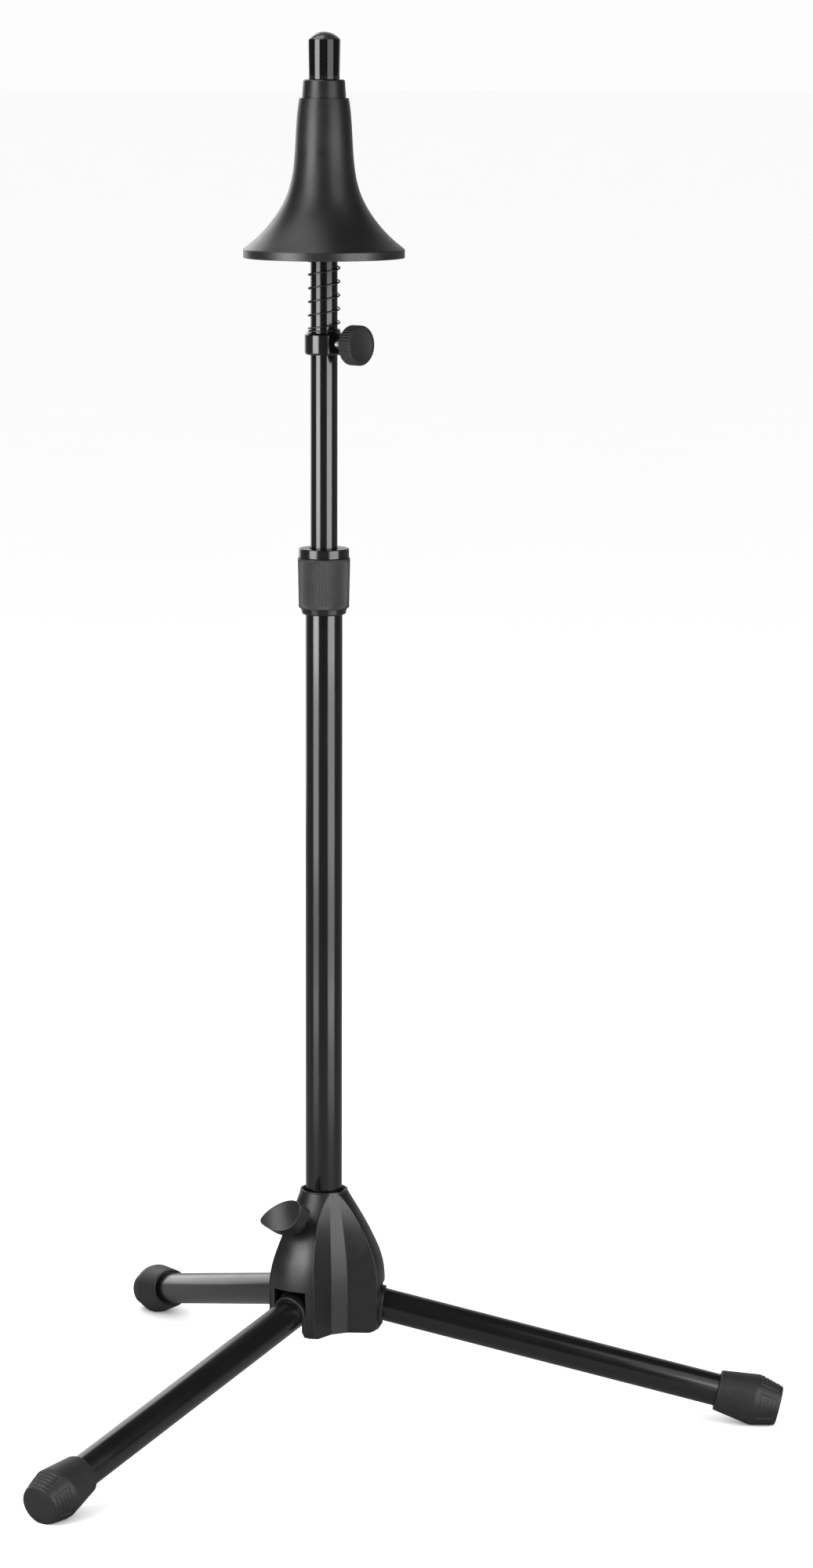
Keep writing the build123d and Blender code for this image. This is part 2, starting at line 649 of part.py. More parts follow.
# ---- collar and its thumb screw ------------------------------------------------------------------
def collar():
    """Bevelled ring on the upper tube that carries the spring."""
    bevel = 1.2
    bore_r = UPPER_TUBE_D / 2 + RUNNING
    body = turned_points(
        (bore_r, COLLAR_BOTTOM),
        (COLLAR_D / 2 - bevel, COLLAR_BOTTOM),
        (COLLAR_D / 2, COLLAR_BOTTOM + bevel),
        (COLLAR_D / 2, COLLAR_TOP - bevel),
        (COLLAR_D / 2 - bevel, COLLAR_TOP),
        (bore_r, COLLAR_TOP),
    )
    return body - collar_screw_rod(COLLAR_SCREW_D + 2 * RUNNING, bore_r / 2, COLLAR_D)


def collar_tip():
    """Plastic tip between the thumb screw and the tube, with a spigot in the stud's end."""
    tip_gap = 0.2
    face_d = UPPER_TUBE_D + 2 * SEATED
    tip = collar_screw_rod(COLLAR_SCREW_D - tip_gap, face_d / 4, COLLAR_TIP_END)
    tip += collar_screw_rod(COLLAR_SPIGOT_D, COLLAR_TIP_END, COLLAR_TIP_END + COLLAR_SPIGOT)
    return tip - rod(face_d, COLLAR_SCREW_Z - COLLAR_SCREW_D, COLLAR_SCREW_Z + COLLAR_SCREW_D)


def collar_screw():
    """Steel stud of the thumb screw, seen between the collar and the knob."""
    socket_spare = 0.1
    socket_floor = COLLAR_TIP_END + COLLAR_SPIGOT + socket_spare
    stud = collar_screw_rod(COLLAR_SCREW_D, COLLAR_TIP_END, KNOB_FRONT - KNOB_COVER)
    return stud - collar_screw_rod(COLLAR_SPIGOT_D + 2 * RUNNING, COLLAR_TIP_END - OVERCUT, socket_floor)


def collar_knob():
    """Round knob with a straight-fluted rim and a dished face. Local Z points outwards along the screw."""
    thick = KNOB_FRONT - KNOB_BACK
    radius = KNOB_D / 2
    edge = 0.7
    dish_r, dish_rim = 60.0, radius - 2.2
    flute_r, flute_out = 0.75, 0.35
    hub_r, hub, hub_root = 5.2, 1.5, 0.5
    disc = extrude(Circle(radius), thick)
    disc = chamfer(disc.edges().filter_by(GeomType.CIRCLE), edge)
    disc -= Pos(0, 0, thick + math.sqrt(dish_r**2 - dish_rim**2)) * Sphere(dish_r)
    disc -= PolarLocations(radius + flute_out, KNOB_FLUTES) * Cylinder(flute_r, 3 * thick)
    knob = disc + Pos(0, 0, -hub) * extrude(Circle(hub_r), hub + hub_root)
    bore_start = -hub - OVERCUT
    bore_end = thick - KNOB_COVER + SEATED
    knob -= Pos(0, 0, bore_start) * extrude(Circle(COLLAR_SCREW_D / 2 + SEATED), bore_end - bore_start)
    return collar_screw_place(KNOB_BACK) * knob


# ---- bell cone, sleeve, spring and cap -----------------------------------------------------------
def bell_cone():
    """Thin flared cone: a slim neck on the sleeve that opens into a wide rim."""
    wall = 2.2
    edge = 0.5
    rim_inset = 1.5         # height of the straight band inside the rim
    neck_top_r = 14.6
    neck_r = SLEEVE_D / 2 + SEATED
    hollow_top = SLEEVE_BOTTOM + 4.0
    low = FLANGE_BOTTOM - OVERCUT
    inner_r = FLANGE_R - wall
    flare = Spline(
        (neck_top_r, CONE_TOP),
        (17.3, 764.0),
        (21.4, 741.6),
        (28.2, 728.6),
        (37.6, 717.2),
        (FLANGE_R - edge, FLANGE_TOP),
    )
    rim = Polyline(
        (FLANGE_R - edge, FLANGE_TOP),
        (FLANGE_R, FLANGE_TOP - edge),
        (FLANGE_R, FLANGE_BOTTOM),
        (0, FLANGE_BOTTOM),
        (0, CONE_TOP),
        (neck_top_r, CONE_TOP),
    )
    inside = Spline(
        (neck_r, hollow_top),
        (20.0, 735.5),
        (27.4, 725.6),
        (36.4, 714.8),
        (inner_r, FLANGE_BOTTOM + rim_inset),
    )
    mouth = Polyline(
        (inner_r, FLANGE_BOTTOM + rim_inset),
        (inner_r, low),
        (0, low),
        (0, hollow_top),
        (neck_r, hollow_top),
    )
    neck_bore = rod(2 * neck_r, hollow_top - OVERCUT, CONE_TOP + OVERCUT)
    return turned([flare, rim]) - turned([inside, mouth]) - neck_bore


def cone_sleeve():
    """Hub of the cone: it slides on the upper tube, and its lower part houses the top of the spring."""
    edge_low, edge_high = 0.8, 0.6
    top = CAP_BOTTOM - 0.1
    bore_r = UPPER_TUBE_D / 2 + RUNNING
    counterbore_r = SPRING_D / 2 + 0.6
    return turned_points(
        (bore_r, SPRING_SEAT),
        (counterbore_r, SPRING_SEAT),
        (counterbore_r, SLEEVE_BOTTOM),
        (SLEEVE_D / 2 - edge_low, SLEEVE_BOTTOM),
        (SLEEVE_D / 2, SLEEVE_BOTTOM + edge_low),
        (SLEEVE_D / 2, CONE_TOP),
        (SLEEVE_TOP_D / 2, top - edge_high),
        (SLEEVE_TOP_D / 2 - edge_high, top),
        (bore_r, top),
    )


def ramp(turns):
    """Turns at full pitch gained when the pitch opens evenly over the blend."""
    if turns <= 0:
        return 0.0
    if turns < SPRING_BLEND_TURNS:
        return turns**2 / (2 * SPRING_BLEND_TURNS)
    return turns - SPRING_BLEND_TURNS / 2


def cone_spring():
    """Compression spring with closed ends, standing on the collar and pushing up the sleeve."""
    low = COLLAR_TOP + SPRING_WIRE / 2
    height = SPRING_SEAT - COLLAR_TOP - SPRING_WIRE
    opening = SPRING_PITCH - SPRING_CLOSED_PITCH
    lost = 2 * SPRING_CLOSED_TURNS + SPRING_BLEND_TURNS
    total = (height + opening * lost) / SPRING_PITCH
    radius = (SPRING_D - SPRING_WIRE) / 2
    per_turn = 12
    count = round(total * per_turn)
    points = []
    for i in range(count + 1):
        turn = total * i / count
        opened = ramp(turn - SPRING_CLOSED_TURNS)
        closed_again = ramp(turn - (total - SPRING_CLOSED_TURNS - SPRING_BLEND_TURNS))
        z = low + SPRING_CLOSED_PITCH * turn + opening * (opened - closed_again)
        angle = 2 * math.pi * turn
        points.append((radius * math.cos(angle), radius * math.sin(angle), z))
    path = Spline(points)
    start = Plane(origin=path @ 0, z_dir=path % 0)
    return sweep(start * Circle(SPRING_WIRE / 2), path=path, is_frenet=True)


def end_cap():
    """Vinyl cap with a low dome, pushed on the top of the upper tube."""
    top_r, bottom_r = 9.7, 9.25
    dome = 4.5
    bore_r = UPPER_TUBE_D / 2 + SEATED
    ceiling = UPPER_TUBE_TOP + SEATED
    dome_r = (top_r**2 + dome**2) / (2 * dome)
    half_way = math.asin(top_r / dome_r) / 2
    on_dome = (dome_r * math.sin(half_way), TOP - dome_r + dome_r * math.cos(half_way))
    inside = Polyline((0, ceiling), (bore_r, ceiling), (bore_r, CAP_BOTTOM))
    outline = [
        inside,
        Polyline((bore_r, CAP_BOTTOM), (bottom_r, CAP_BOTTOM), (top_r, TOP - dome)),
        ThreePointArc((top_r, TOP - dome), on_dome, (0, TOP)),
        Line((0, TOP), (0, ceiling)),
    ]
    return turned(outline)


def nodes():
    """Every piece of the stand, by name."""
    pieces = {
        "end_cap": end_cap(),
        "upper_tube": upper_tube(),
        "glide_bush": glide_bush(),
        "cone_sleeve": cone_sleeve(),
        "bell_cone": bell_cone(),
        "cone_spring": cone_spring(),
        "collar": collar(),
        "collar_tip": collar_tip(),
        "collar_screw": collar_screw(),
        "collar_knob": collar_knob(),
        "clutch_cap": clutch_cap(),
        "clutch_grip": clutch_grip(),
        "clutch_nut": clutch_nut(),
        "clutch_collet": clutch_collet(),
        "clutch_body": clutch_body(),
        "lower_tube": lower_tube(),
        "tube_plug": tube_plug(),
        "base_housing": base_housing(),
        "guide_bush": guide_bush(),
        "base_pad": base_pad(),
        "base_screw": base_screw(),
        "wing_knob": wing_knob(),
        "pin_retainers": pin_retainers(),
        "retainer_screws": retainer_screws(),
    }
    for name in LEG_AZIMUTH:
        turn = turn_to(name)
        pieces["leg_knuckle_" + name] = turn * leg_knuckle()
        pieces["leg_tube_" + name] = turn * leg_tube()
        pieces["foot_boot_" + name] = turn * foot_boot()
        pieces["leg_pin_" + name] = turn * leg_pin()
    return pieces


os.makedirs("parts", exist_ok=True)
for node, solid in nodes().items():
    export_step(solid, "parts/" + node + ".step")
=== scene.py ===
import json
import math
import bmesh
import bpy
from mathutils import Matrix, Vector


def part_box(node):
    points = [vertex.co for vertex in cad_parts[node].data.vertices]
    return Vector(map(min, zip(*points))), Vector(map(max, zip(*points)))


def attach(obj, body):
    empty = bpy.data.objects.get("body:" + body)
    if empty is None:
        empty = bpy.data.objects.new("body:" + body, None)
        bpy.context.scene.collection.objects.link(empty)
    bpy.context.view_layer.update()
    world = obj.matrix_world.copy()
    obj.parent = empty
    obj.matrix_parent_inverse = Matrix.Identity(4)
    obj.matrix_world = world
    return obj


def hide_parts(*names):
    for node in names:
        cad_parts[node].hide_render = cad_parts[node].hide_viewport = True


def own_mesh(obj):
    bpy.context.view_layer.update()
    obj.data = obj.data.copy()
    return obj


# Looks of a telescopic brass-instrument stand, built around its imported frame. Metres, +Z up.

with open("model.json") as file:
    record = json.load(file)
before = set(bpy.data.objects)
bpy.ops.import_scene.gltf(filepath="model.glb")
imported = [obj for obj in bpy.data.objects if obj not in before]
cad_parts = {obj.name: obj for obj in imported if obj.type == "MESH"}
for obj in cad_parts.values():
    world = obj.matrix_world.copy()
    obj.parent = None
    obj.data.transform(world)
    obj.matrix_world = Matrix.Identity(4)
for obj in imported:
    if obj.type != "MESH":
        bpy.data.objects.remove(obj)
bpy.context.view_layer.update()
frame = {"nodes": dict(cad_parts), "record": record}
nodes = frame["nodes"]

MM = 0.001
UP = Vector((0, 0, 1))
LEGS = ("a", "b", "c")
ALMOST_ZERO = 1e-6

# ---- driving values ------------------------------------------------------------------------------
SHARP_ABOVE = math.radians(35)     # an edge that bends more than this stays sharp in the shading
EDGE_SAMPLES = 6
FIT_GAP = 0.02 * MM                # keeps a sleeve's inside clear of what it covers
TUBE_SEGMENTS = 128
TUBE_EDGE = 0.35 * MM
TUBE_EDGE_STEPS = 4
UPPER_WALL = 1.0 * MM
LOWER_WALL = 1.2 * MM
LEG_WALL = 1.2 * MM
GRIP_RIBS = 84
GRIP_RIB_DEPTH = 0.38 * MM
GRIP_RIB_SEGMENTS = 8
GRIP_TAPER = 0.6 * MM
BOOT_SEGMENTS = 256
BOOT_FRAMES = 4
BOOT_RIBS = 5
BOOT_RELIEF = 0.35 * MM
SPRING_SIDES = 12
SPRING_STEPS = 48                  # steps in each turn of the spring
RIDGE_BEAD = 0.4 * MM
RIDGE_TAPER = 4.0 * MM             # length over which a bead thins out
RIDGE_STEP = 1.5 * MM
RIDGE_SIDES = 10
RIDGE_ANGLES = 0.7, 1.5            # radians between the faces that meet at a ridge
RIDGE_BAND = math.radians(2)       # how far a ridge strays from its bearing
CAP_FLARE = 0.45 * MM
CAP_DOME = 4.5 * MM
STRIP_LEFT, STRIP_RIGHT = -51, 47  # azimuths in degrees, seen from the stand
CAMERA_PLACE = Vector((0, -2.9456, 0.860))
CAMERA_PITCH, CAMERA_YAW, CAMERA_ROLL = 9.08, 0.963, 0.16    # degrees
CAMERA_LENS = 114.2
SENSOR = 36.0


# ---- measuring the frame -------------------------------------------------------------------------
def radius_of(node):
    """Outer radius of a node that is round about the stand's axis."""
    low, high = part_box(node)
    return (high.x - low.x) / 2


def span(node, origin, direction):
    """Lowest and highest distance of a node's points along a direction from an origin."""
    reaches = [(v.co - origin).dot(direction) for v in nodes[node].data.vertices]
    return min(reaches), max(reaches)


def girth(node, origin, direction, start, end):
    """Largest distance from an axis of the node's points that lie between two places along it."""
    widest = 0.0
    for v in nodes[node].data.vertices:
        offset = v.co - origin
        reach = offset.dot(direction)
        if start <= reach <= end:
            widest = max(widest, (offset - reach * direction).length)
    return widest


def leg_axis(leg):
    """Start of a leg tube's axis and its direction down the leg, from the tube's two ends."""
    points = [v.co.copy() for v in nodes["leg_tube_" + leg].data.vertices]
    points.sort(key=lambda p: math.hypot(p.x, p.y))
    half = len(points) // 2
    near = sum(points[:half], Vector()) / half
    far = sum(points[half:], Vector()) / (len(points) - half)
    return near, (far - near).normalized()


def axis_frame(origin, direction):
    """A matrix whose local Z runs along a direction, with local X level."""
    side = UP.cross(direction)
    side = Vector((1, 0, 0)) if side.length < ALMOST_ZERO else side.normalized()
    across = direction.cross(side)
    matrix = Matrix((side, across, direction)).transposed().to_4x4()
    matrix.translation = origin
    return matrix


STAND = axis_frame(Vector(), UP)


# ---- building meshes -----------------------------------------------------------------------------
def rounded(points, radius, steps):
    """A closed outline with each corner rounded, as far as its two sides leave room."""
    room = 0.45
    result = []
    count = len(points)
    for i, corner in enumerate(points):
        here = Vector(corner)
        back = Vector(points[i - 1]) - here
        ahead = Vector(points[(i + 1) % count]) - here
        angle = back.angle(ahead)
        reach = min(radius / math.tan(angle / 2), room * back.length, room * ahead.length)
        start = here + back.normalized() * reach
        end = here + ahead.normalized() * reach
        for k in range(steps + 1):
            t = k / steps
            result.append(tuple(start * (1 - t)**2 + here * (2 * t * (1 - t)) + end * t**2))
    return result


def finish_mesh(name, mesh):
    """An object from a bmesh, smooth shaded apart from its sharp edges."""
    bmesh.ops.recalc_face_normals(mesh, faces=mesh.faces)
    for face in mesh.faces:
        face.smooth = True
    for edge in mesh.edges:
        edge.smooth = len(edge.link_faces) == 2 and edge.calc_face_angle(0.0) < SHARP_ABOVE
    data = bpy.data.meshes.new(name)
    mesh.to_mesh(data)
    mesh.free()
    piece = bpy.data.objects.new(name, data)
    bpy.context.scene.collection.objects.link(piece)
    return piece


def lathe(name, outline, place=STAND, segments=TUBE_SEGMENTS, shape=None):
    """A closed (radius, height) outline turned about a place's Z axis. Points at radius 0 close the ends.
    shape, if given, returns a new (radius, height) for a point from its radius, height and angle."""
    mesh = bmesh.new()
    rings = []
    for radius, height in outline:
        if radius < ALMOST_ZERO:
            rings.append([mesh.verts.new(place @ Vector((0, 0, height)))])
            continue
        ring = []
        for k in range(segments):
            angle = 2 * math.pi * k / segments
            r, h = shape(radius, height, angle) if shape else (radius, height)
            ring.append(mesh.verts.new(place @ Vector((r * math.cos(angle), r * math.sin(angle), h))))
        rings.append(ring)
    for i, ring in enumerate(rings):
        after = rings[(i + 1) % len(rings)]
        if len(ring) == 1 and len(after) == 1:
            continue
        for k in range(segments):
            n = (k + 1) % segments
            if len(ring) == 1:
                mesh.faces.new((ring[0], after[n], after[k]))
            elif len(after) == 1:
                mesh.faces.new((ring[k], ring[n], after[0]))
            else:
                mesh.faces.new((ring[k], ring[n], after[n], after[k]))
    return finish_mesh(name, mesh)


def sweep(name, path, radii, sides):
    """A round wire along a path of points, closed at both ends. radii holds its radius at each point."""
    mesh = bmesh.new()
    rings = []
    last = len(path) - 1
    for i, point in enumerate(path):
        along = (path[min(i + 1, last)] - path[max(i - 1, 0)]).normalized()
        out = Vector((point.x, point.y, 0)).normalized()
        out = (out - along * out.dot(along)).normalized()
        side = along.cross(out)
        ring = []
        for k in range(sides):
            angle = 2 * math.pi * k / sides
            ring.append(mesh.verts.new(point + radii[i] * (math.cos(angle) * out + math.sin(angle) * side)))
        rings.append(ring)
    for low, high in zip(rings, rings[1:]):
        for k in range(sides):
            n = (k + 1) % sides
            mesh.faces.new((low[k], low[n], high[n], high[k]))
    mesh.faces.new(rings[0])
    mesh.faces.new(rings[-1])
    return finish_mesh(name, mesh)


def place_piece(piece, body, slot, *replaced):
    """Rides a piece on its body, gives it its slot's finish and lets it stand for CAD nodes, if any."""
    piece.data.materials.append(MATERIALS[slot])
    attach(piece, body)
    if replaced:
        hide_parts(*replaced)


# ---- materials -----------------------------------------------------------------------------------
class Surface:
    """A principled material whose colour, roughness and relief are built up from noise, worn edges and
    painted edge highlights.
    """

    def __init__(self, name, colour, roughness, metallic=0.0, specular=0.5):
        self.material = bpy.data.materials.new(name)
        self.material.use_nodes = True
        self.tree = self.material.node_tree
        self.shader = self.tree.nodes["Principled BSDF"]
        self.shader.inputs["Metallic"].default_value = metallic
        self.shader.inputs["Specular IOR Level"].default_value = specular
        self.place = self.node("ShaderNodeTexCoord").outputs["Object"]
        base = self.node("ShaderNodeRGB").outputs[0]
        base.default_value = (*colour, 1)
        rough = self.node("ShaderNodeValue").outputs[0]
        rough.default_value = roughness
        self.colour = base
        self.roughness = rough
        self.normal = None
        self.link(base, self.shader.inputs["Base Color"])
        self.link(rough, self.shader.inputs["Roughness"])

    def node(self, kind, **settings):
        made = self.tree.nodes.new(kind)
        for key, value in settings.items():
            setattr(made, key, value)
        return made

    def link(self, start, end):
        self.tree.links.new(start, end)

    def noise(self, size, detail=2.0, stretch=(1, 1, 1)):
        """Noise between 0 and 1 whose features are about this many metres across."""
        mapping = self.node("ShaderNodeMapping")
        mapping.inputs["Scale"].default_value = [s / size for s in stretch]
        self.link(self.place, mapping.inputs["Vector"])
        noise = self.node("ShaderNodeTexNoise")
        noise.inputs["Scale"].default_value = 1.0
        noise.inputs["Detail"].default_value = detail
        self.link(mapping.outputs[0], noise.inputs["Vector"])
        return noise.outputs["Fac"]

    def remap(self, value, low, high, to_low, to_high):
        """Carries a value from one range to another, held to its ends."""
        remap = self.node("ShaderNodeMapRange")
        remap.inputs["From Min"].default_value = low
        remap.inputs["From Max"].default_value = high
        remap.inputs["To Min"].default_value = to_low
        remap.inputs["To Max"].default_value = to_high
        self.link(value, remap.inputs["Value"])
        return remap.outputs["Result"]

    def mix_colour(self, factor, colour):
        """Lays another colour over the material where the factor is high."""
        mix = self.node("ShaderNodeMix", data_type="RGBA")
        self.link(factor, mix.inputs["Factor"])
        self.link(self.colour, mix.inputs[6])
        mix.inputs[7].default_value = (*colour, 1)
        self.colour = mix.outputs[2]
        self.link(self.colour, self.shader.inputs["Base Color"])

    def add_roughness(self, value):
        """Adds a signed value to the roughness."""
        add = self.node("ShaderNodeMath", operation="ADD", use_clamp=True)
        self.link(self.roughness, add.inputs[0])
        self.link(value, add.inputs[1])
        self.roughness = add.outputs[0]
        self.link(self.roughness, self.shader.inputs["Roughness"])

    def relief(self, pattern, depth):
        """Adds a relief this many metres deep, from a pattern, over the one already there."""
        bump = self.node("ShaderNodeBump")
        bump.inputs["Distance"].default_value = depth
        self.link(pattern, bump.inputs["Height"])
        if self.normal:
            self.link(self.normal, bump.inputs["Normal"])
        self.normal = bump.outputs["Normal"]
        self.link(self.normal, self.shader.inputs["Normal"])

    def softened_edges(self, radius):
        """Rounds sharp edges in the shading, so that they catch the light."""
        bevel = self.node("ShaderNodeBevel", samples=EDGE_SAMPLES)
        bevel.inputs["Radius"].default_value = radius
        self.normal = bevel.outputs["Normal"]
        self.link(self.normal, self.shader.inputs["Normal"])

    def edge_wear_and_highlight(self, radius, colour, amount):
        """Lays a colour over convex and concave edges, in patches: edge wear, and on the housing a painted
        highlight along its ridge lines.
        """
        flat, bent = 1.0, 0.86
        bevel = self.node("ShaderNodeBevel", samples=EDGE_SAMPLES)
        bevel.inputs["Radius"].default_value = radius
        geometry = self.node("ShaderNodeNewGeometry")
        dot = self.node("ShaderNodeVectorMath", operation="DOT_PRODUCT")
        self.link(bevel.outputs["Normal"], dot.inputs[0])
        self.link(geometry.outputs["True Normal"], dot.inputs[1])
        edge = self.remap(dot.outputs["Value"], flat, bent, 0.0, amount)
        patchy = self.node("ShaderNodeMath", operation="MULTIPLY", use_clamp=True)
        self.link(edge, patchy.inputs[0])
        self.link(self.remap(self.noise(2.5 * MM, 3.0), 0.35, 0.65, 0.45, 1.0), patchy.inputs[1])
        self.mix_colour(patchy.outputs[0], colour)

    def mottle(self, size, colour, amount):
        """Slow variation of the colour."""
        self.mix_colour(self.remap(self.noise(size, 3.0), 0.35, 0.7, 0.0, amount), colour)

    def uneven_gloss(self, size, swing):
        """Slow variation of the roughness."""
        self.add_roughness(self.remap(self.noise(size, 3.0), 0.3, 0.7, -swing, swing))

    def coat(self, weight, roughness):
        """A clear layer over everything."""
        self.shader.inputs["Coat Weight"].default_value = weight
        self.shader.inputs["Coat Roughness"].default_value = roughness


def gloss_black_steel():
    """Stove enamel of the upright tubes and collar: deep gloss, slight orange peel, faint upright marks."""
    s = Surface("gloss_black_steel", (0.0022, 0.0021, 0.0022), 0.15)
    s.mottle(60 * MM, (0.0034, 0.0032, 0.0032), 0.6)
    s.uneven_gloss(35 * MM, 0.02)
    s.add_roughness(s.remap(s.noise(1.6 * MM, 4.0, (1, 1, 0.05)), 0.55, 0.75, 0.0, 0.05))
    s.relief(s.noise(4.0 * MM, 1.0), 0.0012 * MM)
    return s.material


def leg_steel():
    """Satin powder coat of the leg tubes, with its fine orange peel."""
    s = Surface("leg_steel", (0.0026, 0.0026, 0.0026), 0.2)
    s.mottle(40 * MM, (0.004, 0.0038, 0.0036), 0.6)
    s.uneven_gloss(25 * MM, 0.03)
    s.relief(s.noise(1.2 * MM, 1.0), 0.0015 * MM)
    return s.material


def moulded(name, colour, roughness, grain=0.45 * MM, depth=0.02 * MM, edge=0.35 * MM, wear_and_highlight=0.5):
    """Moulded plastic: spark-eroded grain, slow shade variation, softened and slightly lighter edges."""
    s = Surface(name, colour, roughness)
    lighter = tuple(min(1.0, c * 1.7 + 0.012) for c in colour)
    s.mottle(18 * MM, tuple(c * 1.25 for c in colour), 0.5)
    s.edge_wear_and_highlight(edge, lighter, wear_and_highlight)
    s.uneven_gloss(9 * MM, 0.04)
    s.softened_edges(edge)
    s.relief(s.noise(grain, 2.0), depth)
    return s.material


def housing():
    """Grained nylon of the base housing, lighter along its edges: a painted highlight on its ridge lines.
    """
    # the lighter edges here are painted highlights, standing in for the light that the ridge lines catch
    return moulded("housing", (0.0032, 0.003, 0.003), 0.38, 0.4 * MM, 0.01 * MM, 0.7 * MM, 0.75)


def black_plastic():
    """Plain moulded plastic of the inner parts."""
    return moulded("black_plastic", (0.005, 0.0048, 0.0048), 0.4)


def white_plastic():
    """Slippery natural-coloured plastic of the pad, the tip, the collet and the glide bush."""
    return moulded("white_plastic", (0.62, 0.6, 0.56), 0.38, 0.6 * MM, 0.01 * MM, 0.3 * MM, 0.2)


def gloss_plastic():
    """Polished plastic of the clutch's rings."""
    return moulded("gloss_plastic", (0.003, 0.0029, 0.0029), 0.17, 1.2 * MM, 0.004 * MM, 0.4 * MM, 0.3)


def satin_plastic():
    """Half-matte plastic of the cone's sleeve."""
    return moulded("satin_plastic", (0.0046, 0.0044, 0.0043), 0.34, 0.4 * MM, 0.006 * MM, 0.4 * MM, 0.5)


def knob_plastic():
    """Grained plastic of the two screws' knobs."""
    return moulded("knob_plastic", (0.0062, 0.0059, 0.0058), 0.38, 0.4 * MM, 0.012 * MM, 0.3 * MM, 0.5)


def cone_plastic():
    """Soft-touch matte shell of the cone, very finely grained, with faint handling marks round it."""
    s = Surface("cone_plastic", (0.0046, 0.0044, 0.0043), 0.38)
    s.mottle(30 * MM, (0.0066, 0.0063, 0.0062), 0.5)
    s.edge_wear_and_highlight(0.5 * MM, (0.03, 0.029, 0.0285), 0.5)
    s.uneven_gloss(14 * MM, 0.04)
    s.add_roughness(s.remap(s.noise(2.0 * MM, 4.0, (0.2, 0.2, 1)), 0.58, 0.78, 0.0, -0.08))
    s.softened_edges(0.4 * MM)
    s.relief(s.noise(0.3 * MM, 2.0), 0.006 * MM)
    return s.material


def cap_vinyl():
    """Dipped vinyl: shiny down its side and matte on its dome."""
    s = Surface("cap_vinyl", (0.0022, 0.0021, 0.0022), 0.1)
    split = s.node("ShaderNodeSeparateXYZ")
    s.link(s.place, split.inputs[0])
    margin, blend = 0.1 * MM, 0.5 * MM
    dome_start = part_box("end_cap")[1].z - CAP_DOME - margin
    dome_full = dome_start + blend
    s.add_roughness(s.remap(split.outputs["Z"], dome_start - margin, dome_full, 0.0, 0.34))
    s.mix_colour(s.remap(split.outputs["Z"], dome_start, dome_full, 0.0, 0.8), (0.012, 0.0115, 0.0115))
    s.uneven_gloss(6 * MM, 0.03)
    s.relief(s.noise(2.2 * MM, 1.0), 0.002 * MM)
    s.coat(1.0, 0.05)
    return s.material


def rubber(name, colour, roughness, dust):
    """Vulcanised rubber with specks of pale dust and lighter edges."""
    s = Surface(name, colour, roughness, specular=0.35)
    s.mottle(8 * MM, tuple(c * 1.5 for c in colour), 0.6)
    s.mix_colour(s.remap(s.noise(0.7 * MM, 5.0), 0.6, 0.8, 0.0, dust), (0.11, 0.105, 0.1))
    s.edge_wear_and_highlight(0.4 * MM, tuple(c * 2.0 for c in colour), 0.5)
    s.softened_edges(0.25 * MM)
    s.relief(s.noise(0.5 * MM, 3.0), 0.02 * MM)
    return s.material


def steel(name, colour, roughness):
    """Bare steel with fine marks all over."""
    s = Surface(name, colour, roughness, metallic=1.0)
    s.uneven_gloss(5 * MM, 0.06)
    s.mottle(3 * MM, tuple(c * 0.7 for c in colour), 0.5)
    s.relief(s.noise(0.25 * MM, 3.0), 0.006 * MM)
    return s.material


MATERIALS = {
    "housing": housing(),
    "black_plastic": black_plastic(),
    "white_plastic": white_plastic(),
    "gloss_plastic": gloss_plastic(),
    "satin_plastic": satin_plastic(),
    "knob_plastic": knob_plastic(),
    "cone_plastic": cone_plastic(),
    "cap_vinyl": cap_vinyl(),
    "grip_rubber": rubber("grip_rubber", (0.0095, 0.0092, 0.0092), 0.42, 0.15),
    "boot_rubber": rubber("boot_rubber", (0.0062, 0.006, 0.0061), 0.5, 0.2),
    "gloss_black_steel": gloss_black_steel(),
    "leg_steel": leg_steel(),
    "spring_steel": steel("spring_steel", (0.07, 0.066, 0.064), 0.32),
    "bright_steel": steel("bright_steel", (0.62, 0.61, 0.59), 0.25),
}


def slot_of(node):
    """The record's material slot of a CAD node."""
    return next(part["material_slot"] for part in frame["record"]["subparts"] if part["node"] == node)


# ---- pieces --------------------------------------------------------------------------------------
def tube(name, body, wall, place, low, high, radius, replaced):
    """A round tube with slightly broken edges."""
    outline = [(radius - wall, low), (radius, low), (radius, high), (radius - wall, high)]
    piece = lathe(name, rounded(outline, TUBE_EDGE, TUBE_EDGE_STEPS), place)
    place_piece(piece, body, slot_of(replaced), replaced)


def upright_tubes():
    """The two telescoping tubes. Each rides the body of its own name."""
    for node, wall in (("upper_tube", UPPER_WALL), ("lower_tube", LOWER_WALL)):
        low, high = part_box(node)
        tube(node + "_shell", node, wall, STAND, low.z, high.z, radius_of(node), node)


def leg_tubes():
    """The three leg tubes, each along its own slope."""
    for leg in LEGS:
        node = "leg_tube_" + leg
        start, along = leg_axis(leg)
        low, high = span(node, start, along)
        radius = girth(node, start, along, low, high)
        tube(node + "_shell", "leg_" + leg, LEG_WALL, axis_frame(start, along), low, high, radius, node)


